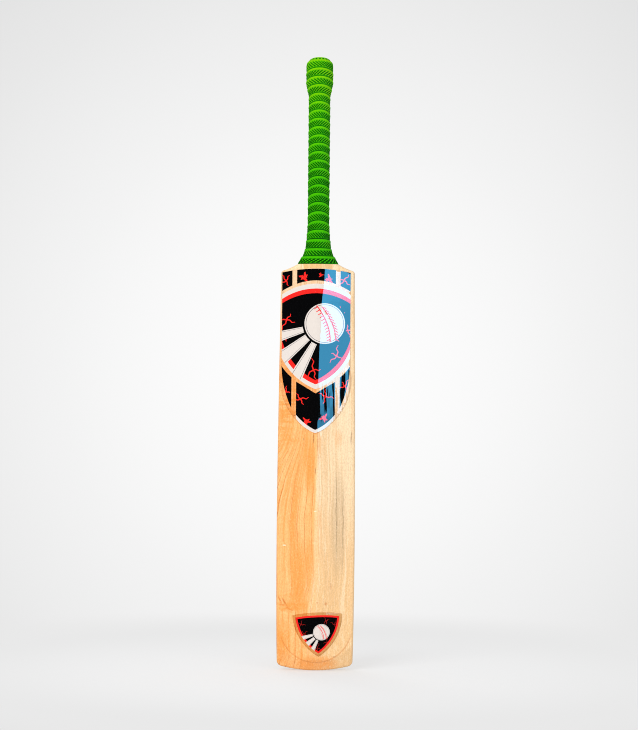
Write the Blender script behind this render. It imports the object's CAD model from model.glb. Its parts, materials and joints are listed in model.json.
"""Looks for the cricket bat: printed stickers, ribbed grip, willow and cane around the CAD frame."""

import json
import math
import random

import bmesh
import bpy
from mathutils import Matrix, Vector
from mathutils.bvhtree import BVHTree
from mathutils.geometry import delaunay_2d_cdt


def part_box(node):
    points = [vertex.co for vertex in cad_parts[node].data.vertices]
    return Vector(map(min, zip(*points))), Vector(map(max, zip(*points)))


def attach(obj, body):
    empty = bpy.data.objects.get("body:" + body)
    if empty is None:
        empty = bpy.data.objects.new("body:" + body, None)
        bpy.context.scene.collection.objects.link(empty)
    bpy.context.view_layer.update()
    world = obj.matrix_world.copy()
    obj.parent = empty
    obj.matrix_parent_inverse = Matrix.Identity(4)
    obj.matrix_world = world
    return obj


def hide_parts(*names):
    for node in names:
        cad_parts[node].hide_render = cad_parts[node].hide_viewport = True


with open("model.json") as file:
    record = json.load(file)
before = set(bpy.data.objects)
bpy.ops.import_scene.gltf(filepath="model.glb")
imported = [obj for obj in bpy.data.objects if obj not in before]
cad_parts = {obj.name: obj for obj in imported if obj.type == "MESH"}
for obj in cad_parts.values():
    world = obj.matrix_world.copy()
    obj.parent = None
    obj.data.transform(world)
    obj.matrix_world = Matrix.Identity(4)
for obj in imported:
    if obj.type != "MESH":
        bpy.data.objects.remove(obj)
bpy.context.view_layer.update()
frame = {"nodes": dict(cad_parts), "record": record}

# ---- places that come from the frame, in metres ----------------------------------------------
MM = 0.001
NODES = frame["nodes"]
MOUNTS = {mount["name"]: mount for mount in frame["record"]["mounts"]}
HANDLE_Y = MOUNTS["handle"]["pos_m"][1]
BLADE_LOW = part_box("blade")[0]


# ---- node trees --------------------------------------------------------------------------------
def srgb(red, green, blue):
    """Linear RGBA of a display colour given from 0 to 255."""
    channels = [c / 255 for c in (red, green, blue)]
    linear = [c / 12.92 if c <= 0.04045 else ((c + 0.055) / 1.055) ** 2.4 for c in channels]
    return (*linear, 1.0)


def fill_ramp(ramp, stops):
    """Gives a new colour ramp its (position, colour) stops, from 0 to 1."""
    elements = ramp.color_ramp.elements
    for position, colour in stops[1:-1]:
        elements.new(position).color = colour
    elements[0].color = stops[0][1]
    elements[-1].color = stops[-1][1]


class Finish:
    """A material with short calls for the nodes that the finishes share."""

    def __init__(self, name, **constants):
        self.material = bpy.data.materials.new(name)
        self.material.use_nodes = True
        self.tree = self.material.node_tree
        self.surface = self.tree.nodes["Principled BSDF"]
        for socket, value in constants.items():
            self.surface.inputs[socket.replace("_", " ")].default_value = value

    def connect(self, value, socket):
        if isinstance(value, bpy.types.NodeSocket):
            self.tree.links.new(value, socket)
        else:
            socket.default_value = value

    def node(self, kind, settings=None, **inputs):
        node = self.tree.nodes.new("ShaderNode" + kind)
        for name, value in (settings or {}).items():
            setattr(node, name, value)
        for name, value in inputs.items():
            self.connect(value, node.inputs[name.replace("_", " ")])
        return node

    def math(self, operation, *values):
        node = self.node("Math", {"operation": operation})
        for value, socket in zip(values, node.inputs):
            self.connect(value, socket)
        return node.outputs[0]

    def place(self):
        """The three coordinates of the place on the bat, in millimetres."""
        local = self.node("TexCoord").outputs["Object"]
        scaled = self.node("VectorMath", {"operation": "SCALE"}, Scale=1 / MM)
        self.connect(local, scaled.inputs[0])
        return self.node("SeparateXYZ", Vector=scaled.outputs[0]).outputs[:]

    def noise(self, x, y, z, detail=2.0, roughness=0.5):
        """Noise from 0 to 1 at a point whose coordinates are already scaled."""
        point = self.node("CombineXYZ", X=x, Y=y, Z=z).outputs[0]
        noise = self.node("TexNoise", Vector=point, Scale=1.0, Detail=detail, Roughness=roughness)
        return noise.outputs["Fac"]

    def stretched(self, coordinates, frequencies, detail=2.0, roughness=0.5):
        """Noise with its own frequency, per millimetre, along each coordinate."""
        scaled = [self.math("MULTIPLY", c, k) for c, k in zip(coordinates, frequencies)]
        return self.noise(*scaled, detail=detail, roughness=roughness)

    def smooth(self, value, start, end, low=0.0, high=1.0):
        """An even step from low to high as value goes from start to end."""
        node = self.node("MapRange", {"interpolation_type": "SMOOTHSTEP"}, Value=value)
        for name, number in zip(("From Min", "From Max", "To Min", "To Max"), (start, end, low, high)):
            self.connect(number, node.inputs[name])
        return node.outputs[0]

    def mix(self, factor, first, second, blend="MIX"):
        node = self.node("Mix", {"data_type": "RGBA", "blend_type": blend})
        for index, value in ((0, factor), (6, first), (7, second)):
            self.connect(value, node.inputs[index])
        return node.outputs[2]

    def spot(self, x, z, spot_x, spot_z, half_width, half_height):
        """1 in the middle of an oval on the bat's back, and 0 from its edge outwards."""
        across = self.math("DIVIDE", self.math("SUBTRACT", x, spot_x), half_width)
        along = self.math("DIVIDE", self.math("SUBTRACT", z, spot_z), half_height)
        squares = self.math("ADD", self.math("MULTIPLY", across, across),
                            self.math("MULTIPLY", along, along))
        return self.smooth(squares, 1.0, 0.0)

    def bump(self, height, distance):
        """Relief of the given depth in millimetres."""
        bump = self.node("Bump", Height=height, Distance=distance * MM, Strength=1.0)
        self.connect(bump.outputs[0], self.surface.inputs["Normal"])


# ---- willow ----------------------------------------------------------------------------------------
HEARTWOOD = srgb(250, 188, 122)
HEART_DEEP = srgb(240, 156, 74)
HEART_LINE = srgb(204, 116, 46)
HEART_PALE = srgb(252, 206, 150)
SAPWOOD_HIGH = srgb(250, 220, 178)
SAPWOOD_LOW = srgb(239, 196, 141)
SAP_DEEP = srgb(234, 190, 136)
SAP_LINE = srgb(190, 152, 108)
SAP_PALE = srgb(253, 230, 196)
PIN_BROWN = srgb(120, 62, 22)
GREY_BROWN = srgb(150, 118, 84)
GREY_STAIN = srgb(208, 178, 138)

# Soft coloured areas on the back: x, z, half width, half height, strength, colour.
STAINS = [
    (-22, 132, 13, 64, 0.95, HEART_DEEP),
    (-10, 288, 9, 52, 1.0, HEART_DEEP),
    (-8, 148, 8, 50, 0.8, HEART_DEEP),
    (-46, 44, 15, 40, 0.9, HEART_DEEP),
    (-34, 93, 22, 9, 0.5, HEART_DEEP),
    (31, 205, 14, 95, 0.7, GREY_STAIN),
    (26, 108, 10, 30, 0.4, SAP_DEEP),
    (4, 10, 34, 16, 0.95, HEART_DEEP),
    (30, 322, 8, 16, 0.35, HEART_DEEP),
]
# Small dark marks: x, z, half width, half height, strength, colour.
PINS = [
    (-18, 321, 1.0, 2.0, 0.9, PIN_BROWN),
    (-4, 323, 1.1, 9.0, 0.6, PIN_BROWN),
    (-31, 354, 2.2, 1.2, 0.7, PIN_BROWN),
    (48, 323, 1.2, 12.0, 0.6, PIN_BROWN),
    (-1, 279, 1.2, 8.0, 0.5, PIN_BROWN),
    (22, 120, 1.8, 7.0, 0.5, HEART_LINE),
    (14, 95, 2.2, 3.0, 0.6, HEART_LINE),
    (3, 97, 2.6, 1.8, 0.5, HEART_LINE),
    (-9, 113, 1.2, 3.0, 0.6, HEART_LINE),
    (27, 20, 3.0, 1.2, 0.7, PIN_BROWN),
    (28, 215, 1.2, 88, 0.62, GREY_BROWN),
    (37.5, 196, 1.1, 74, 0.55, GREY_BROWN),
]
# A small knot of crossing strokes: x, z, lean in degrees, half width, half height, strength.
KNOT = [
    (-49, 99, 25, 1.5, 8, 0.75),
    (-42, 96, 32, 1.6, 11, 0.85),
    (-44, 92, 86, 1.2, 8, 0.7),
    (-35, 87, 66, 1.6, 8, 0.85),
    (-26, 90, 20, 1.3, 7, 0.5),
]
PALE_MARKS = [(-1, 223, 2.6, 1.2), (-43, 175, 3.4, 1.2), (6, 330, 2.0, 6.0)]
DRESSING_CENTRE = (1, 62)
DRESSING_RADIUS = 50


def willow_figure(f):
    """Colour and relief of the blade's wood."""
    x, y, z = f.place()
    back = f.smooth(y, 20, 12)
    left = f.smooth(x, 0, -3)

    # Growth lines run up the blade, and close in on the spine where its ridge is sharp.
    narrowing = f.smooth(z, 225, 345, 0.0, 0.58)
    on_left_back = f.math("MULTIPLY", back, left)
    spread = f.math("SUBTRACT", 1.0, f.math("MULTIPLY", narrowing, on_left_back))
    wander = f.stretched((x, y, z), (0.01, 0.01, 0.011), 1.0)
    ripple = f.stretched((x, y, z), (0.05, 0.02, 0.045), 1.0)
    across = f.math("DIVIDE", x, spread)
    across = f.math("ADD", across, f.math("MULTIPLY", f.math("SUBTRACT", wander, 0.5), 16.0))
    across = f.math("ADD", across, f.math("MULTIPLY", f.math("SUBTRACT", ripple, 0.5), 2.6))
    across = f.math("ADD", across, f.math("MULTIPLY", y, 0.2))

    bands = f.stretched((across, y, z), (0.13, 0.05, 0.002), 4.0, 0.62)
    streaks = f.stretched((across, y, z), (0.75, 0.3, 0.006), 3.0, 0.6)
    fibres = f.stretched((across, y, z), (2.6, 1.2, 0.05), 2.0, 0.6)
    grain_spots = f.stretched((x, y, z), (0.6, 0.6, 0.4), 2.0, 0.65)

    # Heartwood is on the left, up to a line that leans. On the back it fades out towards the shoulders,
    # and on the face it is only a strip.
    boundary = f.smooth(z, 90, 240, -3.0, 1.0)
    boundary = f.math("ADD", boundary, f.math("MULTIPLY", f.math("SUBTRACT", wander, 0.5), 16.0))
    boundary = f.math("ADD", boundary, f.math("MULTIPLY", f.math("SUBTRACT", bands, 0.5), 10.0))
    boundary = f.math("SUBTRACT", boundary, f.math("MULTIPLY", f.math("SUBTRACT", 1.0, back), 22.0))
    softness = f.smooth(z, 150, 260, 13.0, 4.0)
    heart = f.smooth(f.math("DIVIDE", f.math("SUBTRACT", x, boundary), softness), 1.0, -1.0)
    fading = f.math("MULTIPLY", f.smooth(z, 420, 510), back)
    heart = f.math("MULTIPLY", heart, f.math("SUBTRACT", 1.0, fading))

    sapwood = f.mix(f.smooth(z, 130, 260), SAPWOOD_LOW, SAPWOOD_HIGH)
    colour = f.mix(heart, sapwood, HEARTWOOD)
    deep = f.mix(heart, SAP_DEEP, HEART_DEEP)
    line = f.mix(heart, SAP_LINE, HEART_LINE)
    pale = f.mix(heart, SAP_PALE, HEART_PALE)
    colour = f.mix(f.smooth(bands, 0.46, 0.66, 0.0, 0.7), colour, deep)
    colour = f.mix(f.smooth(bands, 0.46, 0.3, 0.0, 0.5), colour, pale)
    colour = f.mix(f.smooth(streaks, 0.5, 0.68, 0.0, 0.4), colour, deep)
    colour = f.mix(f.smooth(streaks, 0.48, 0.34, 0.0, 0.4), colour, pale)

    # Each year's wood ends at a thin darker line, clear in the heartwood and faint in the sapwood.
    years = f.math("ADD", f.math("MULTIPLY", across, 0.115), f.math("MULTIPLY", bands, 0.5))
    year_edge = f.smooth(f.math("FRACT", years), 0.16, 0.0)
    visible = f.smooth(f.stretched((across, y, z), (0.09, 0.05, 0.006), 1.0), 0.38, 0.6, 0.25, 1.0)
    visible = f.math("MULTIPLY", visible, f.smooth(heart, 0.0, 1.0, 0.28, 0.9))
    colour = f.mix(f.math("MULTIPLY", year_edge, visible), colour, line)

    for spot_x, spot_z, half_width, half_height, strength, tint in STAINS:
        mask = f.math("MULTIPLY", f.spot(x, z, spot_x, spot_z, half_width, half_height), strength)
        mask = f.math("MULTIPLY", mask, f.smooth(streaks, 0.25, 0.65, 0.5, 1.0))
        colour = f.mix(f.math("MULTIPLY", mask, back), colour, tint)
    bent_x = f.math("ADD", x, f.math("MULTIPLY", f.math("SUBTRACT", ripple, 0.5), 4.0))
    broken = f.smooth(f.stretched((x, y, z), (0.2, 0.2, 0.16), 2.0), 0.3, 0.6, 0.45, 1.0)
    for spot_x, spot_z, half_width, half_height, strength, tint in PINS:
        mask = f.math("MULTIPLY", f.spot(bent_x, z, spot_x, spot_z, half_width, half_height), strength)
        mask = f.math("MULTIPLY", mask, broken)
        colour = f.mix(f.math("MULTIPLY", mask, back), colour, tint)
    for spot_x, spot_z, lean, half_width, half_height, strength in KNOT:
        sine, cosine = math.sin(math.radians(lean)), math.cos(math.radians(lean))
        aside, along = f.math("SUBTRACT", bent_x, spot_x), f.math("SUBTRACT", z, spot_z)
        over = f.math("ADD", f.math("MULTIPLY", aside, cosine), f.math("MULTIPLY", along, sine))
        up = f.math("SUBTRACT", f.math("MULTIPLY", along, cosine), f.math("MULTIPLY", aside, sine))
        mask = f.math("MULTIPLY", f.spot(over, up, 0, 0, half_width, half_height), strength)
        colour = f.mix(f.math("MULTIPLY", mask, back), colour, HEART_LINE)
    for spot_x, spot_z, half_width, half_height in PALE_MARKS:
        mask = f.spot(x, z, spot_x, spot_z, half_width, half_height)
        colour = f.mix(f.math("MULTIPLY", mask, back), colour, SAP_PALE)

    # Curl: short ripples across the grain, high on the left of the back.
    curl = f.stretched((x, y, z), (0.03, 0.02, 0.17), 2.0, 0.55)
    curl_area = f.math("MAXIMUM", f.spot(x, z, -40, 368, 34, 76), f.spot(x, z, -34, 92, 30, 20))
    curl_area = f.math("MULTIPLY", curl_area, f.smooth(x, -54, -48))
    curl_mask = f.math("MULTIPLY", f.smooth(curl, 0.46, 0.6, 0.0, 0.8), curl_area)
    colour = f.mix(f.math("MULTIPLY", curl_mask, back), colour, deep)

    # The toe is dressed up to a faint round line.
    toe_x = f.math("SUBTRACT", x, DRESSING_CENTRE[0])
    toe_z = f.math("SUBTRACT", z, DRESSING_CENTRE[1])
    toe_radius = f.math("SQRT", f.math("ADD", f.math("MULTIPLY", toe_x, toe_x),
                                       f.math("MULTIPLY", toe_z, toe_z)))
    off_line = f.math("ABSOLUTE", f.math("SUBTRACT", toe_radius, DRESSING_RADIUS))
    ring = f.math("MULTIPLY", f.smooth(off_line, 1.5, 0.0, 0.0, 0.5), f.smooth(toe_z, -8, -22))
    colour = f.mix(f.math("MULTIPLY", ring, back), colour, HEART_LINE)

    colour = f.mix(f.smooth(fibres, 0.5, 0.72, 0.0, 0.22), colour, line)
    colour = f.mix(f.smooth(grain_spots, 0.44, 0.66, 0.0, 0.26), colour, line)
    colour = f.mix(f.smooth(grain_spots, 0.44, 0.26, 0.0, 0.4), colour, pale)
    relief = f.math("ADD", f.math("MULTIPLY", fibres, 0.6), f.math("MULTIPLY", streaks, 0.4))
    return colour, relief


def make_willow():
    f = Finish("willow", Roughness=0.5, Specular_IOR_Level=0.25)
    colour, relief = willow_figure(f)
    f.connect(colour, f.surface.inputs["Base Color"])
    f.bump(relief, 0.05)
    return f.material


# ---- cane, rubber and twine --------------------------------------------------------------------------
def make_cane():
    """Straight fibres with fine dark vessels."""
    f = Finish("cane", Roughness=0.45, Specular_IOR_Level=0.35)
    x, y, z = f.place()
    fibres = f.stretched((x, y, z), (1.6, 1.6, 0.012), 3.0, 0.6)
    bundles = f.stretched((x, y, z), (0.35, 0.35, 0.004), 2.0, 0.5)
    vessels = f.stretched((x, y, z), (3.2, 3.2, 0.03), 1.0, 0.5)
    colour = f.mix(fibres, srgb(236, 198, 140), srgb(216, 168, 102))
    colour = f.mix(f.smooth(bundles, 0.4, 0.7, 0.0, 0.5), colour, srgb(245, 212, 160))
    colour = f.mix(f.smooth(vessels, 0.62, 0.78, 0.0, 0.6), colour, srgb(140, 92, 48))
    f.connect(colour, f.surface.inputs["Base Color"])
    f.bump(fibres, 0.06)
    return f.material


def make_spring_rubber():
    f = Finish("spring_rubber", Roughness=0.75, Specular_IOR_Level=0.3)
    specks = f.stretched(f.place(), (1.1, 1.1, 1.1), 3.0, 0.7)
    colour = f.mix(specks, srgb(22, 22, 24), srgb(46, 44, 42))
    f.connect(colour, f.surface.inputs["Base Color"])
    f.bump(specks, 0.05)
    return f.material


def make_twine():
    """Turns of waxed thread, each lying on the next, with a twist in the thread."""
    f = Finish("twine", Roughness=0.6, Specular_IOR_Level=0.3)
    x, y, z = f.place()
    turn = f.math("PINGPONG", f.math("MULTIPLY", z, 1.25), 1.0)
    twist = f.stretched((x, y, z), (1.4, 1.4, 2.2), 2.0, 0.5)
    colour = f.mix(f.smooth(turn, 0.0, 0.5), srgb(120, 96, 62), srgb(216, 196, 156))
    colour = f.mix(f.smooth(twist, 0.5, 0.8, 0.0, 0.5), colour, srgb(170, 146, 104))
    f.connect(colour, f.surface.inputs["Base Color"])
    f.bump(turn, 0.25)
    return f.material


# ---- printed vinyl --------------------------------------------------------------------------------------
GLOSS = {"Roughness": 0.07, "Specular_IOR_Level": 1.0}
INK_COLOURS = {
    "black": (srgb(2, 2, 3), srgb(5, 5, 6)),
    "white": (srgb(228, 221, 215), srgb(221, 212, 206)),
    "red": (srgb(246, 46, 40), srgb(232, 34, 30)),
    "dim_red": (srgb(150, 26, 24), srgb(120, 20, 20)),
    "grey": (srgb(116, 112, 120), srgb(96, 92, 100)),
}


def film_waves(f):
    """The film isn't quite flat, so that reflections in it waver, most of all low in the middle."""
    x, y, z = f.place()
    waves = f.stretched((x, y, z), (0.05, 0.02, 0.012), 1.0, 0.4)
    dimples = f.stretched((x, y, z), (0.3, 0.1, 0.2), 1.0, 0.4)
    wrinkles = f.stretched((x, y, z), (0.13, 0.05, 0.02), 1.0, 0.5)
    loose = f.math("MAXIMUM", f.spot(x, z, 14, 372, 16, 44), f.spot(x, z, 40, 390, 9, 34))
    height = f.math("ADD", waves, f.math("MULTIPLY", dimples, 0.015))
    height = f.math("ADD", height, f.math("MULTIPLY", f.math("MULTIPLY", wrinkles, loose), 2.2))
    f.bump(height, 0.9)


def make_ink(name):
    base, worn = INK_COLOURS[name]
    f = Finish("ink_" + name, **GLOSS)
    mottle = f.stretched(f.place(), (0.4, 0.4, 0.25), 3.0, 0.6)
    f.connect(f.mix(mottle, base, worn), f.surface.inputs["Base Color"])
    film_waves(f)
    return f.material


def make_clear_film(name, tint):
    """Clear vinyl on the wood, drawn as one opaque surface with the wood's figure under gloss."""
    f = Finish(name, **GLOSS)
    colour, _ = willow_figure(f)
    f.connect(f.mix(1.0, colour, tint, "MULTIPLY"), f.surface.inputs["Base Color"])
    film_waves(f)
    return f.material


# ---- drawing for the prints ------------------------------------------------------------------------------
DRAW_STEP = 1.6             # spacing of points along drawn curves, mm
MESH_STEP = 3.0             # spacing of the print's inner points, mm
FILM_THICKNESS = 0.3        # mm
RAY_START = 1.0             # how far behind the blade the rays that find its surface start, m


def arc(start, through, end):
    """Points on the circle through three points, from start up to but not including end."""
    (ax, ay), (bx, by), (cx, cy) = start, through, end
    turn = 2 * (ax * (by - cy) + bx * (cy - ay) + cx * (ay - by))
    a2, b2, c2 = ax * ax + ay * ay, bx * bx + by * by, cx * cx + cy * cy
    ox = (a2 * (by - cy) + b2 * (cy - ay) + c2 * (ay - by)) / turn
    oy = (a2 * (cx - bx) + b2 * (ax - cx) + c2 * (bx - ax)) / turn
    radius = math.hypot(ax - ox, ay - oy)
    first = math.atan2(ay - oy, ax - ox)
    middle = (math.atan2(by - oy, bx - ox) - first) % math.tau
    last = (math.atan2(cy - oy, cx - ox) - first) % math.tau
    sweep = last if middle < last else last - math.tau
    count = max(2, round(abs(sweep) * radius / DRAW_STEP))
    angles = [first + sweep * i / count for i in range(count)]
    return [(ox + radius * math.cos(a), oy + radius * math.sin(a)) for a in angles]


def line(start, end):
    """Points on a straight line, from start up to but not including end."""
    count = max(1, round(math.dist(start, end) / DRAW_STEP))
    return [(start[0] + (end[0] - start[0]) * i / count,
             start[1] + (end[1] - start[1]) * i / count) for i in range(count)]


def divided(outline):
    """The closed outline with its long straight edges cut into short ones."""
    return [p for a, b in zip(outline, outline[1:] + outline[:1]) for p in line(a, b)]


def flipped(points):
    """The same outline on the other side of the centre line."""
    return [(-u, v) for u, v in reversed(points)]


def inside(outline, point):
    """True if the point is inside the closed outline."""
    u, v = point
    found = False
    for (u0, v0), (u1, v1) in zip(outline, outline[1:] + outline[:1]):
        if (v0 > v) != (v1 > v) and u < u0 + (v - v0) / (v1 - v0) * (u1 - u0):
            found = not found
    return found


def circle(centre, radius):
    count = max(12, round(math.tau * radius / DRAW_STEP))
    angles = [math.tau * i / count for i in range(count)]
    return [(centre[0] + radius * math.cos(a), centre[1] + radius * math.sin(a)) for a in angles]


def stroke(start, end, start_width, end_width):
    """A straight band from start to end, of a width that changes evenly."""
    length = math.dist(start, end)
    side = ((start[1] - end[1]) / length / 2, (end[0] - start[0]) / length / 2)
    corners = []
    for point, width, sign in ((start, start_width, 1), (end, end_width, 1),
                               (end, end_width, -1), (start, start_width, -1)):
        corners.append((point[0] + sign * side[0] * width, point[1] + sign * side[1] * width))
    return corners


def path(points, widths):
    """Bands along a run of points."""
    return [stroke(a, b, wa, wb) for a, b, wa, wb in zip(points, points[1:], widths, widths[1:])]


def crack(rng, centre, heading, reach, width):
    """Four jagged limbs that thin out from one point."""
    bands = []
    for limb in range(4):
        angle = math.radians(heading + 90 * limb + rng.uniform(-18, 18))
        step = reach * rng.uniform(0.75, 1.35) / 3
        points = [centre]
        zigzag = rng.choice((-0.75, 0.75))
        for turn in (0.0, zigzag, -1.3 * zigzag):
            angle += turn
            u, v = points[-1]
            points.append((u + step * math.cos(angle), v + step * math.sin(angle)))
        bands += path(points, [width, width * 0.85, width * 0.7, width * 0.4])
    return bands


def splat(rng, centre, radius):
    """A blot with uneven arms."""
    count = 28
    phases = [rng.uniform(0, math.tau) for _ in range(3)]
    outline = []
    for i in range(count):
        angle = math.tau * i / count
        reach = 0.6 + 0.2 * math.sin(3 * angle + phases[0]) + 0.18 * math.sin(5 * angle + phases[1])
        reach = radius * (reach + 0.16 * math.sin(8 * angle + phases[2]))
        outline.append((centre[0] + reach * math.cos(angle), centre[1] + reach * math.sin(angle)))
    return outline


# The stripes behind the ball: heading in degrees, near and far width and reach as shares of its radius.
STRIPES = [(196, 0.2, 0.62, 3.0), (219, 0.26, 0.78, 3.2), (242, 0.2, 0.62, 3.0)]


def ball_emblem(centre, size):
    """A ball with a stitched seam and three stripes fanning out behind it: (ink, outline) pairs."""
    def at(u, v):
        return (centre[0] + u * size, centre[1] + v * size)

    shapes = []
    for heading, near, far, reach in STRIPES:
        way = (math.cos(math.radians(heading)), math.sin(math.radians(heading)))
        root, tail = at(0.6 * way[0], 0.6 * way[1]), at(reach * way[0], reach * way[1])
        for ink, trim in (("white", 0.0), ("grey", 0.13), ("white", 0.175)):
            shapes.append((ink, stroke(root, tail, (near - trim * 0.5) * size, (far - trim) * size)))
    shapes.append(("black", circle(centre, 1.1 * size)))
    for ink, radius in (("white", 1.0), ("grey", 0.94), ("white", 0.915)):
        shapes.append((ink, circle(centre, radius * size)))

    def seam(v, side):
        """Across the ball at height v: the seam leans, and bows to the right."""
        return -0.4 * v + 0.24 * (1 - v * v) + side

    heights = [0.86 - 1.72 * i / 24 for i in range(25)]
    for side in (-0.13, 0.13):
        run = [at(seam(v, side), v * (1 - 0.25 * side)) for v in heights]
        shapes += [("red", band) for band in path(run, [0.05 * size] * len(run))]
    for v in heights[1:-1:2]:
        for side in (-0.2, 0.2):
            stitch_top = v + 0.02
            first = at(seam(v, side * 0.75), stitch_top)
            second = at(seam(v, side * 1.55), stitch_top - 0.1)
            shapes.append(("red", stroke(first, second, 0.045 * size, 0.035 * size)))
    return shapes


# ---- prints -----------------------------------------------------------------------------------------------
def surface_tree(names):
    """A ray-cast tree of CAD nodes."""
    vertices, faces = [], []
    for name in names:
        mesh = NODES[name].data
        base = len(vertices)
        vertices += [v.co.copy() for v in mesh.vertices]
        faces += [[base + i for i in polygon.vertices] for polygon in mesh.polygons]
    return BVHTree.FromPolygons(vertices, faces)


def lay_on_back(name, node, to_bat, outline, shapes, ink_order, fine_half_width):
    """A skin of printed film on the blade's back, cut along the lines of its print.

    Inner points are closer together up to fine_half_width from the middle, where the blade's ridge is.
    """
    points = list(outline)
    edges = [(i, (i + 1) % len(outline)) for i in range(len(outline))]
    for _, shape, _ in shapes:
        base = len(points)
        drawn = divided(shape)
        points += drawn
        edges += [(base + i, base + (i + 1) % len(drawn)) for i in range(len(drawn))]
    low_u, high_u = min(u for u, _ in outline), max(u for u, _ in outline)
    low_v, high_v = min(v for _, v in outline), max(v for _, v in outline)
    v = low_v + MESH_STEP / 2
    while v < high_v:
        u = low_u + MESH_STEP / 2
        while u < high_u:
            if inside(outline, (u, v)):
                points.append((u, v))
            u += MESH_STEP if abs(u) > fine_half_width else MESH_STEP / 3
        v += MESH_STEP
    flat = delaunay_2d_cdt([Vector(p) for p in points], edges, [], 0, 1e-4)
    flat_points, flat_faces = flat[0], flat[2]

    skin = surface_tree([node])
    wood = surface_tree([n for n in NODES if n == "blade" or n.startswith("cane")])
    thickness = FILM_THICKNESS * MM
    toward_face = Vector((0, 1, 0))
    placed = []
    for point in flat_points:
        x, z = to_bat(point)
        origin = Vector((x, BLADE_LOW.y - RAY_START, z))
        # on the CAD sticker, or on the wood where the ray misses the sticker or meets it far too deep
        under = wood.ray_cast(origin, toward_face)[0]
        over = skin.ray_cast(origin, toward_face)[0]
        hit = under - Vector((0, thickness, 0)) if under else None
        if over and (hit is None or over.y - hit.y < 4 * thickness):
            hit = over
        placed.append(hit)

    mesh = bpy.data.meshes.new(name)
    built = bmesh.new()
    made = [built.verts.new(p) if p else None for p in placed]
    for corners in flat_faces:
        middle = sum((flat_points[i] for i in corners), Vector((0, 0))) / len(corners)
        if any(made[i] is None for i in corners) or not inside(outline, middle):
            continue
        ink = ink_order[0]
        for shape_ink, shape, limit in shapes:
            if inside(shape, middle) and (limit is None or inside(limit, middle)):
                ink = shape_ink
        try:
            face = built.faces.new([made[i] for i in corners])
        except ValueError:
            continue
        face.material_index = ink_order.index(ink)
        face.smooth = True
    bmesh.ops.delete(built, geom=[v for v in built.verts if not v.link_faces], context="VERTS")
    bmesh.ops.recalc_face_normals(built, faces=built.faces)
    if sum(face.normal.y for face in built.faces) > 0:
        bmesh.ops.reverse_faces(built, faces=built.faces)
    rim = [e for e in built.edges if e.is_boundary]
    walls = bmesh.ops.extrude_edge_only(built, edges=rim)["geom"]
    for v in walls:
        if isinstance(v, bmesh.types.BMVert):
            v.co.y += thickness
    built.to_mesh(mesh)
    built.free()
    piece = bpy.data.objects.new(name, mesh)
    bpy.context.scene.collection.objects.link(piece)
    for ink in ink_order:
        mesh.materials.append(MATERIALS[ink])
    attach(piece, "root")
    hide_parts(node)
    return piece


# The surfaces of a print, the bare film first.
INKS = ["clear", "tan", "black", "white", "red", "dim_red", "grey"]


def shield(side_top, crown, half_width, side_low, flank, tip):
    """A shield: arched top, straight sides, and two arcs that meet at the tip."""
    right = arc((half_width, side_low), flank, (0, tip))
    top = arc((-half_width, side_top), (0, crown), (half_width, side_top))
    side = line((half_width, side_top), (half_width, side_low))
    left = arc((0, tip), (-flank[0], flank[1]), (-half_width, side_low))
    left_side = line((-half_width, side_low), (-half_width, side_top))
    return top + side + right + left + left_side


# Jagged marks on the large sticker: u, height above its tip, heading in degrees, reach.
BACK_CRACKS = [
    (-42, 211, 50, 9), (38, 212, 60, 9), (-41, 157, 80, 13), (-41, 134, 100, 10), (-3, 88, 30, 14),
    (31, 166, 80, 13), (44, 143, 100, 11), (29, 108, 60, 12), (-41, 58, 80, 7), (-21, 48, 35, 12),
    (14, 52, 75, 11), (40, 66, 50, 9),
]
BACK_SPLATS = [(-17, 216, 8), (6, 219, 4), (17, 213, 7.5), (-12, 17, 7), (12, 22, 7)]


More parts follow.
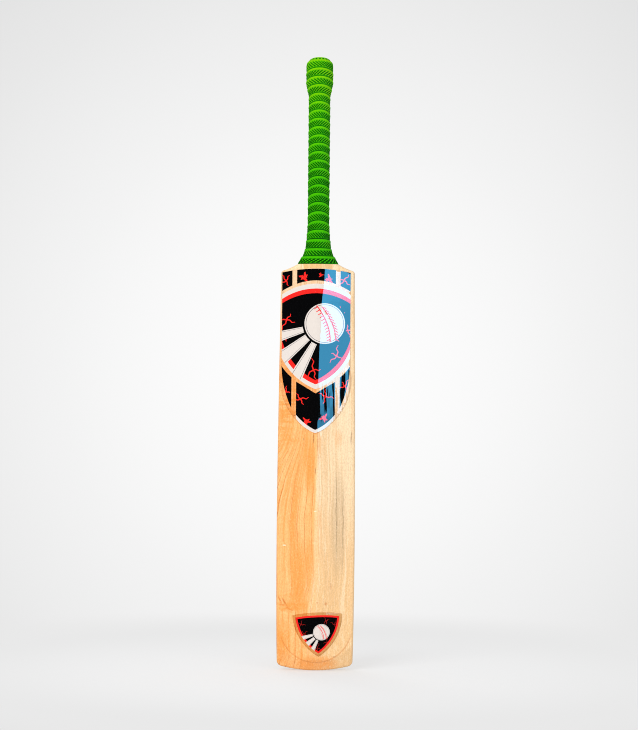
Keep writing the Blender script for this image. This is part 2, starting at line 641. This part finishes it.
def make_back_print():
    """The large sticker: a crest between upper and lower panels. Heights are above its tip."""
    low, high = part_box("back_sticker")
    axis_x = (low.x + high.x) / 2
    rng = random.Random(11)
    edge = 47.3                 # half width of the print
    bar_in, bar_out = 26.8, 33.2
    film = shield(223.3, 228.3, 48, 91.3, (37, 32.3), 0)

    def bow(crown, side, places):
        """Points at the given distances from the centre line, on a bow that falls from crown to side."""
        return [(u, crown - (crown - side) * (u / edge) ** 2) for u in places]

    shapes = []
    # white outline round the lower tip
    ring = arc((bar_in + 0.8, 22.2), (15, 9.3), (0, 1.4)) + arc((0, 1.4), (-15, 9.3), (-bar_in - 0.8, 22.2))
    shapes.append(("white", ring + [(-bar_in, 30), (0, 40), (bar_in, 30)]))
    # lower panels
    centre = arc((bar_in, 26.5), (14.5, 14.5), (0, 5.8)) + arc((0, 5.8), (-14.5, 14.5), (-bar_in, 26.5))
    centre += line((-bar_in, 26.5), (-bar_in, 71.8)) + line((-bar_in, 71.8), (0, 56))
    centre += line((0, 56), (bar_in, 71.8)) + line((bar_in, 71.8), (bar_in, 26.5))
    shapes.append(("black", centre))
    side = line((bar_out, 35), (bar_out, 77.8)) + arc((bar_out, 77.8), (40.5, 84.5), (edge, 93.5))
    side += arc((edge, 93.5), (44, 66), (bar_out, 35))
    shapes += [("black", side), ("black", flipped(side))]
    # upper panels
    for inner, outer in ((-bar_in, bar_in), (bar_out, edge), (-edge, -bar_out)):
        middle = (inner + outer) / 2
        top = bow(227.7, 222.7, (inner, middle, outer))
        foot = bow(211.4, 196.9, (outer, middle, inner))
        panel = arc(*top) + line(top[-1], foot[0]) + arc(*foot) + line(foot[-1], top[0])
        shapes.append(("black", panel))
    panel_count = len(shapes)
    # crest
    crest = shield(192.1, 207.0, edge, 104.5, (32, 82.8), 61.6)
    field = shield(179.8, 193.8, edge, 129, (32, 99.3), 73.8)
    shapes.append(("white", crest))
    shapes.append(("red", shield(185.8, 200.3, edge, 117, (32, 90.3), 68.3)))
    shapes.append(("black", field))

    # each jagged mark is cut off at the panels that it starts in
    homes = [field] + [shape for ink, shape in shapes[1:panel_count]]
    shapes = [(ink, shape, None) for ink, shape in shapes]
    art = [crack(rng, (u, v), heading, reach, 1.8) for u, v, heading, reach in BACK_CRACKS]
    art += [[splat(rng, (u, v), radius)] for u, v, radius in BACK_SPLATS]
    for bands in art:
        for home in homes:
            shapes += [("red", band, home) for band in bands if any(inside(home, p) for p in band)]
    shapes += [(ink, shape, crest) for ink, shape in ball_emblem((12, 152), 28)]

    def to_bat(point):
        return axis_x + point[0] * MM, low.z + point[1] * MM

    return lay_on_back("back_sticker_print", "back_sticker", to_bat, film, shapes, INKS, 9)


def inset(outline, distance):
    """The outline moved inwards, at its corners too."""
    moved = []
    count = len(outline)
    for i, (u, v) in enumerate(outline):
        before, after = outline[i - 1], outline[(i + 1) % count]
        normals = []
        for (u0, v0), (u1, v1) in ((before, (u, v)), ((u, v), after)):
            length = math.hypot(u1 - u0, v1 - v0)
            normals.append(((v1 - v0) / length, (u0 - u1) / length))
        (a, b), (c, d) = normals
        share = distance / max(0.35, 1 + a * c + b * d)
        moved.append((u - (a + c) * share, v - (b + d) * share))
    return moved


def curve(start, start_pull, end_pull, end):
    """Points on a cubic curve between two ends, up to but not including the last."""
    count = 24
    points = []
    for i in range(count):
        t = i / count
        weights = ((1 - t) ** 3, 3 * t * (1 - t) ** 2, 3 * t * t * (1 - t), t ** 3)
        ends = (start, start_pull, end_pull, end)
        points.append(tuple(sum(w * p[k] for w, p in zip(weights, ends)) for k in (0, 1)))
    return points


# Jagged marks on the toe sticker: place from its middle and heading in degrees.
TOE_CRACKS = [(-23, 14, 60), (-19, 1, 40), (12, 18, 20), (24, 12, 80), (13, -12, 30), (-1, -20, 70)]


def make_toe_print():
    """The small shield at the toe, a little askew. Points are from its own middle."""
    middle_x, middle_z, turn = 4.2, 52.5, math.radians(2.3)
    rng = random.Random(29)
    # anticlockwise, from the tip: right flank, arched top, left flank
    right = curve((0, -32), (14, -24.5), (34.2, -2), (34.2, 27))
    film = right + arc((34.2, 27), (0, 30.5), (-34.2, 27))
    film += [(-u, v) for u, v in reversed(right[1:] + [(34.2, 27)])]
    film = [p for p, q in zip(film, film[1:] + film[:1]) if math.dist(p, q) > 0.2]
    band, field = inset(film, 3.9), inset(film, 6.5)
    art = []
    for u, v, heading in TOE_CRACKS:
        art += crack(rng, (u, v), heading, 6.5, 0.9)
    shapes = [("red", band, None), ("black", field, None)]
    shapes += [("dim_red", shape, field) for shape in art]
    shapes += [(ink, shape, band) for ink, shape in ball_emblem((5, 2.5), 11.5)]

    def to_bat(point):
        u = point[0] * math.cos(turn) - point[1] * math.sin(turn)
        v = point[0] * math.sin(turn) + point[1] * math.cos(turn)
        return (middle_x + u) * MM, (middle_z + v) * MM

    return lay_on_back("toe_sticker_print", "toe_sticker", to_bat, film, shapes, ["tan"] + INKS[2:], 0)


# ---- grip ------------------------------------------------------------------------------------------------
# Heights and sizes are in millimetres.
BULGE_RADIUS = MOUNTS["handle_top"]["dims"]["r_mm"]
GRIP_RADIUS = BULGE_RADIUS - 3.75
BULGE_START, BULGE_END = 792, 815
GRIP_FOOT = 563.2
# Half width and half depth of the grip, by height.
FLARE = [(562.5, 29.6, 19.6), (565.5, 27.8, 19.1), (569, 25.6, 18.5), (572.5, 23.4, 17.9), (576, 21.3, 17.3),
         (582, 19.0, 16.8), (590, 17.6, 16.3), (602, 16.4, 15.8), (617, 15.4, 15.4), (630, 15.25, 15.25)]
CROWN_LOW = 836.0
CROWN_HEIGHT = 14.0
MOUTH_RADIUS = 4.0
CROWN_LENGTH = math.pi / 2 * (CROWN_HEIGHT + BULGE_RADIUS - MOUTH_RADIUS) / 2
CROWN_ROWS = 15
CROWN_NOTCHES = (0.02, 0.3)      # where up the crown its ring of notches is
CROWN_NOTCH_COUNT = 16
NOTCH_DEPTH = 0.4

RINGS = [11.0] * 2 + [12.8] * 6 + [11.5] * 15 + [14.2]    # height of each ring, from the lowest
RING_SHARES = [0.0, 0.05, 0.1, 0.16, 0.23, 0.3, 0.37, 0.44, 0.51, 0.58, 0.65, 0.73, 0.82, 0.9, 0.96]
# Relief and tone by share of a ring's height.
RING_RELIEF = [(0, -0.95), (0.06, -0.9), (0.14, -0.3), (0.6, -0.2), (0.68, -0.1), (0.84, 0.1), (0.94, -0.15),
               (1, -0.95)]
RING_TONE = [(0, 0.15), (0.05, 0.25), (0.14, 0.9), (0.62, 0.95), (0.72, 0.72), (0.92, 0.78), (1, 0.35)]
# How far the rings' middles stand above their sides, by height.
ARCH = [(575, 0), (587, 0.6), (600, 2.0), (612, 6.0), (626, 7.5), (836, 7.5), (850, 3.0), (858, 0)]
COLUMNS = 240
RIBS = 26                        # strokes of the hatching round one ring
HATCH_START, HATCH_END = (0.08, 0.16), (0.62, 0.7)    # where up a ring its hatching fades in and out
HATCH_DEPTH = 0.5
LIP = ((0.5, 0.5), (1.4, 0.7), (2.2, 0.2), (2.2, -2.5))    # how far in and down the lower edge's rings are
MOUTH_DROPS = (1.0, 3.0)

CUT_SHADE = 1.9                  # what a millimetre of hatching takes off the tone
PALING = (640, 840)              # heights between which the rubber turns paler
PALER = 0.14
YELLOWING = (750, 840)           # heights between which it turns yellower
YELLOWED = (1.4, 1.0, 1.0, 1.0)  # what its colour is multiplied by there
# The rubber's colour by tone.
GREENS = [(0, srgb(0, 34, 0)), (0.25, srgb(4, 80, 0)), (0.5, srgb(32, 146, 0)), (0.75, srgb(62, 176, 0)),
          (1, srgb(120, 205, 0))]


def make_grip_rubber():
    """Green rubber, deeper in its grooves, paler on the smooth band of each ring, yellower at the top."""
    f = Finish("grip_rubber", Roughness=0.6, Specular_IOR_Level=0.05)
    x, y, z = f.place()
    tone = f.node("Attribute", {"attribute_name": "tone"}).outputs["Fac"]
    mottle = f.stretched((x, y, z), (0.35, 0.35, 0.35), 3.0, 0.6)
    tone = f.math("ADD", tone, f.math("MULTIPLY", f.math("SUBTRACT", mottle, 0.5), 0.16))
    ramp = f.node("ValToRGB", Fac=tone)
    fill_ramp(ramp, GREENS)
    near_top = f.smooth(z, *YELLOWING)
    f.connect(f.mix(near_top, ramp.outputs[0], YELLOWED, "MULTIPLY"), f.surface.inputs["Base Color"])
    f.bump(mottle, 0.05)
    return f.material


def smooth_step(value, start, end):
    t = min(1.0, max(0.0, (value - start) / (end - start)))
    return t * t * (3 - 2 * t)


def blend_at(value, stops):
    """The amount at a place, on straight runs between (place, amount) stops."""
    if value <= stops[0][0]:
        return stops[0][1]
    for (p0, a0), (p1, a1) in zip(stops, stops[1:]):
        if value <= p1:
            return a0 + (a1 - a0) * (value - p0) / (p1 - p0)
    return stops[-1][1]


def grip_point(height, angle, relief):
    """A point of the grip's skin. Height is measured along the skin, so it passes over the crown."""
    if height > CROWN_LOW:
        turn = (height - CROWN_LOW) / CROWN_LENGTH * math.pi / 2
        reach = BULGE_RADIUS - MOUTH_RADIUS
        radius = MOUTH_RADIUS + reach * math.cos(turn) + relief * math.cos(turn)
        z = CROWN_LOW + (CROWN_HEIGHT + relief) * math.sin(turn)
        return (radius * math.sin(angle), HANDLE_Y / MM - radius * math.cos(angle), z)
    half_width = blend_at(height, [(z, a) for z, a, _ in FLARE])
    half_depth = blend_at(height, [(z, b) for z, _, b in FLARE])
    bulge = smooth_step(height, BULGE_START, BULGE_END) * (BULGE_RADIUS - GRIP_RADIUS)
    x = (half_width + bulge + relief) * math.sin(angle)
    y = HANDLE_Y / MM - (half_depth + bulge + relief) * math.cos(angle)
    return (x, y, height)


def ring_profile(share):
    """Relief, share of hatching and tone up one ring: groove, hatched band, smooth roll."""
    hatch = smooth_step(share, *HATCH_START) * (1 - smooth_step(share, *HATCH_END))
    return blend_at(share, RING_RELIEF), hatch, blend_at(share, RING_TONE)


def make_grip():
    """One ribbed sleeve: rings with hatching that turns from ring to ring, arched on both sides."""
    rows = []                    # height, share of the ring's height, ring index from the top
    height = GRIP_FOOT
    for index, pitch in enumerate(RINGS):
        from_top = len(RINGS) - 1 - index
        for share in RING_SHARES:
            rows.append((height + pitch * share, share, from_top))
        height += pitch
    # the crown has index -1
    top = CROWN_LOW + CROWN_LENGTH
    for i in range(CROWN_ROWS):
        rows.append((height + (top - height) * i / (CROWN_ROWS - 1), i / (CROWN_ROWS - 1), -1))

    mesh = bpy.data.meshes.new("grip_skin")
    built = bmesh.new()
    tone_layer = built.verts.layers.float.new("tone")
    grid = []
    for h, share, from_top in rows:
        ring = []
        base_relief, hatch, tone = ring_profile(share)
        if from_top < 0:
            hatch = 1.0 if CROWN_NOTCHES[0] < share < CROWN_NOTCHES[1] else 0.0
            tone = 0.8
            base_relief = -0.4 if share < 0.1 else -0.1
        for column in range(COLUMNS):
            angle = math.tau * column / COLUMNS
            fall = blend_at(h, ARCH) * (1 - math.sqrt(math.cos(angle) ** 2 + 0.012))
            around = angle / math.tau * RIBS
            lean = h / (math.tau * GRIP_RADIUS / RIBS)
            # the hatching leans the other way on every second ring, and is crossed more on one side
            sign = 1 if from_top % 2 == 0 else -1
            rib = 0.5 + 0.5 * math.cos(math.tau * (around + sign * lean))
            cross = 0.5 + 0.5 * math.cos(math.tau * (around - sign * lean))
            share_cross = 0.35 + 0.35 * sign * math.sin(angle)
            if from_top == len(RINGS) - 1:
                share_cross = 0.6
            cut = (1 - rib) + share_cross * (1 - cross) * rib
            if from_top < 0:
                cut = 0.5 + 0.5 * math.cos(angle * CROWN_NOTCH_COUNT)
            depth = HATCH_DEPTH if from_top >= 0 else NOTCH_DEPTH
            relief = base_relief - depth * hatch * cut
            v = built.verts.new(Vector(grip_point(h - fall, angle, relief)) * MM)
            shade = CUT_SHADE * depth * hatch * min(1.0, cut)
            v[tone_layer] = tone - shade + PALER * smooth_step(h, *PALING)
            ring.append(v)
        grid.append(ring)

    def plain_ring(height, relief, drop, tone):
        """A ring of one tone, moved straight down by drop."""
        ring = []
        for column in range(COLUMNS):
            angle = math.tau * column / COLUMNS
            v = built.verts.new(Vector(grip_point(height, angle, relief)) * MM)
            v.co.z -= drop * MM
            v[tone_layer] = tone
            ring.append(v)
        return ring

    # the lip under the lowest ring, and the wall of the mouth
    lip = [plain_ring(GRIP_FOOT, -0.5 - depth, drop, 0.4) for depth, drop in LIP]
    mouth = [plain_ring(top, 0, drop, 0.2) for drop in MOUTH_DROPS]
    grid = lip[::-1] + grid + mouth
    for lower, upper in zip(grid, grid[1:]):
        for i in range(COLUMNS):
            j = (i + 1) % COLUMNS
            face = built.faces.new((lower[i], lower[j], upper[j], upper[i]))
            face.smooth = True
    bmesh.ops.recalc_face_normals(built, faces=built.faces)
    built.to_mesh(mesh)
    built.free()
    piece = bpy.data.objects.new("grip_skin", mesh)
    bpy.context.scene.collection.objects.link(piece)
    mesh.materials.append(MATERIALS["grip"])
    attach(piece, "root")
    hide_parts("grip")
    return piece


# ---- stage ------------------------------------------------------------------------------------------------
CAMERA_DISTANCE = 3.5
CAMERA_HEIGHT = 0.4236
CAMERA_ASIDE = 0.0025
VIEW_HEIGHT = 1.009          # what the frame spans at the bat, top to bottom
CAMERA_ROLL = -0.51
FLOOR_RADIUS = 0.9
FLOOR_GAP = 0.0002           # between the toe and the floor, m
FLOOR_COLOUR = srgb(228, 230, 233)
FLOOR_GLOW_NEAR = srgb(240, 240, 240)    # what the lights make of that colour, seen by the camera
FLOOR_GLOW_FAR = srgb(233, 233, 233)
GLOW_SHARE = 0.55            # of the floor's brightness near the bat, so that shadows stay faint
GLOW_START = 0.15            # where the lit floor begins to turn into glow, as a share of its radius
GLOW_END = 0.6               # where it is all glow, and begins to fade into the backdrop


def make_camera():
    data = bpy.data.cameras.new("camera")
    data.sensor_width = 36.0
    data.lens = data.sensor_width * CAMERA_DISTANCE / VIEW_HEIGHT
    camera = bpy.data.objects.new("camera", data)
    camera.location = (CAMERA_ASIDE, -CAMERA_DISTANCE, CAMERA_HEIGHT)
    camera.rotation_euler = (math.radians(90), math.radians(CAMERA_ROLL), 0)
    bpy.context.scene.collection.objects.link(camera)
    bpy.context.scene.camera = camera


def make_light(name, place, target, size, power, colour):
    """An area light that faces its target."""
    data = bpy.data.lights.new(name, "AREA")
    data.shape = "RECTANGLE"
    data.size, data.size_y = size
    data.energy = power
    data.color = colour
    light = bpy.data.objects.new(name, data)
    light.location = place
    light.rotation_euler = (Vector(target) - Vector(place)).to_track_quat("-Z", "Y").to_euler()
    bpy.context.scene.collection.objects.link(light)
    return light


# Lights that reflections don't show: place, target, size, watts and colour.
SOFT_LIGHTS = {
    "key": ((-1.6, -3.0, 2.3), (0, 0, 0.45), (2.2, 2.2), 84, (1.0, 0.97, 0.93)),
    "fill": ((1.5, -3.0, 1.9), (0, 0, 0.4), (1.8, 1.8), 22, (1.0, 0.93, 0.84)),
    "toe_light": ((0, -0.4, 0.03), (0, 0, 0.03), (0.6, 0.06), 0.2, (1.0, 0.97, 0.93)),
    "back_light": ((-1.2, 3.0, 2.2), (0, 0, 0.4), (2.0, 2.0), 32, (1.0, 0.97, 0.92)),
}
# Panels that only reflections show: name, lowest and highest point, and watts a square metre.
SKY_PANELS = [("upper_sky_panel", 0.90, 1.15, 24), ("middle_sky_panel", 0.60, 0.90, 18.7),
              ("lower_sky_panel", -0.15, 0.60, 13.7)]
SKY_PLACE = (1.74, -1.8)
SKY_WIDTH = 0.9
SKY_COLOUR = (0.1, 0.57, 1.0)


def make_soft_light(name):
    """A light that reflections don't show."""
    light = make_light(name, *SOFT_LIGHTS[name])
    light.visible_glossy = False
    return light


def make_lights(floor):
    """Key and fill from the front, a sky for the film's gloss, a light for the toe and one from behind."""
    make_soft_light("key")
    make_soft_light("fill")
    for name, low, high, strength in SKY_PANELS:
        middle = (low + high) / 2
        size = (SKY_WIDTH, high - low)
        power = strength * SKY_WIDTH * (high - low)
        sky = make_light(name, (*SKY_PLACE, middle), (0, 0, middle), size, power, SKY_COLOUR)
        sky.visible_diffuse = False
    toe_light = make_soft_light("toe_light")
    not_lit = bpy.data.collections.new("not_lit_by_the_toe_light")
    not_lit.objects.link(floor)
    not_lit.collection_objects[0].light_linking.link_state = "EXCLUDE"
    toe_light.light_linking.receiver_collection = not_lit
    make_soft_light("back_light")


# Backdrop grey by the square of the sine of the angle off the Y axis, as a share of SINE_SQUARE_SPAN.
BACKDROP_GREYS = [(0, 253), (0.055, 251), (0.26, 243), (0.4, 239), (0.62, 233), (0.9, 227), (1, 225)]
SINE_SQUARE_SPAN = 0.04
AMBIENT = 0.7                # strength of the even light that surfaces get from all sides
AMBIENT_REFLECTION = 0.015   # and of the same light in reflections


def make_world():
    """A pale backdrop that darkens off its middle, over an even light that reflections hardly show."""
    world = bpy.data.worlds.new("studio")
    world.use_nodes = True
    bpy.context.scene.world = world
    tree = world.node_tree
    tree.nodes.clear()

    def add(kind, **settings):
        node = tree.nodes.new("ShaderNode" + kind)
        for name, value in settings.items():
            setattr(node, name, value)
        return node

    direction = add("SeparateXYZ")
    tree.links.new(add("TexCoord").outputs["Generated"], direction.inputs[0])
    square = add("Math", operation="MULTIPLY")
    for socket in square.inputs[:2]:
        tree.links.new(direction.outputs["Y"], socket)
    share = add("MapRange")
    tree.links.new(square.outputs[0], share.inputs["Value"])
    share.inputs["From Min"].default_value = 1.0
    share.inputs["From Max"].default_value = 1.0 - SINE_SQUARE_SPAN
    ramp = add("ValToRGB")
    tree.links.new(share.outputs[0], ramp.inputs[0])
    fill_ramp(ramp, [(position, srgb(grey, grey, grey)) for position, grey in BACKDROP_GREYS])
    rays = add("LightPath")
    strength = add("MapRange")
    tree.links.new(rays.outputs["Is Glossy Ray"], strength.inputs["Value"])
    strength.inputs["To Min"].default_value = AMBIENT
    strength.inputs["To Max"].default_value = AMBIENT_REFLECTION
    seen, light = add("Background"), add("Background")
    tree.links.new(ramp.outputs[0], seen.inputs["Color"])
    tree.links.new(strength.outputs[0], light.inputs["Strength"])
    light.inputs["Color"].default_value = (1, 1, 1, 1)
    choice = add("MixShader")
    tree.links.new(rays.outputs["Is Camera Ray"], choice.inputs[0])
    tree.links.new(light.outputs[0], choice.inputs[1])
    tree.links.new(seen.outputs[0], choice.inputs[2])
    tree.links.new(choice.outputs[0], add("OutputWorld").inputs["Surface"])


def make_floor():
    """A pale disc. Its lit middle turns into an even glow further out, and that fades into the backdrop."""
    mesh = bpy.data.meshes.new("floor")
    built = bmesh.new()
    bmesh.ops.create_circle(built, cap_ends=True, segments=96, radius=FLOOR_RADIUS)
    built.to_mesh(mesh)
    built.free()
    floor = bpy.data.objects.new("floor", mesh)
    bpy.context.scene.collection.objects.link(floor)
    floor.location.z = -FLOOR_GAP
    f = Finish("floor", Roughness=0.9, Specular_IOR_Level=0.0)
    x, y, _ = f.place()
    square = f.math("ADD", f.math("MULTIPLY", x, x), f.math("MULTIPLY", y, y))
    share = f.math("DIVIDE", f.math("SQRT", square), FLOOR_RADIUS / MM)
    glow = f.smooth(share, GLOW_START, GLOW_END, GLOW_SHARE, 1)
    glow_colour = f.mix(f.smooth(share, GLOW_START, GLOW_END), FLOOR_GLOW_NEAR, FLOOR_GLOW_FAR)
    f.connect(f.mix(glow, FLOOR_COLOUR, srgb(0, 0, 0)), f.surface.inputs["Base Color"])
    f.connect(glow_colour, f.surface.inputs["Emission Color"])
    f.connect(glow, f.surface.inputs["Emission Strength"])
    f.connect(f.smooth(share, 1, GLOW_END), f.surface.inputs["Alpha"])
    f.material.cycles.emission_sampling = "NONE"
    mesh.materials.append(f.material)
    floor.visible_glossy = False
    return floor


MATERIALS = {
    "willow": make_willow(),
    "cane": make_cane(),
    "spring_rubber": make_spring_rubber(),
    "twine": make_twine(),
    "grip": make_grip_rubber(),
    "clear": make_clear_film("clear_film", srgb(248, 240, 240)),
    "tan": make_clear_film("aged_film", srgb(226, 202, 172)),
}
for ink_name in INK_COLOURS:
    MATERIALS[ink_name] = make_ink(ink_name)


def finish_of(name):
    """The material that a CAD piece wears."""
    if name == "blade":
        return "willow"
    if name.startswith("cane"):
        return "cane"
    if name.endswith("spring"):
        return "spring_rubber"
    if name == "binding_twine":
        return "twine"
    return "grip" if name == "grip" else "clear"


for name, node in NODES.items():
    node.data.materials.clear()
    node.data.materials.append(MATERIALS[finish_of(name)])

make_camera()
make_world()
make_lights(make_floor())
make_grip()
make_back_print()
make_toe_print()

bpy.context.scene.view_settings.view_transform = "Standard"
bpy.context.scene.cycles.filter_width = 1.0
bpy.context.scene.cycles.denoising_prefilter = "NONE"
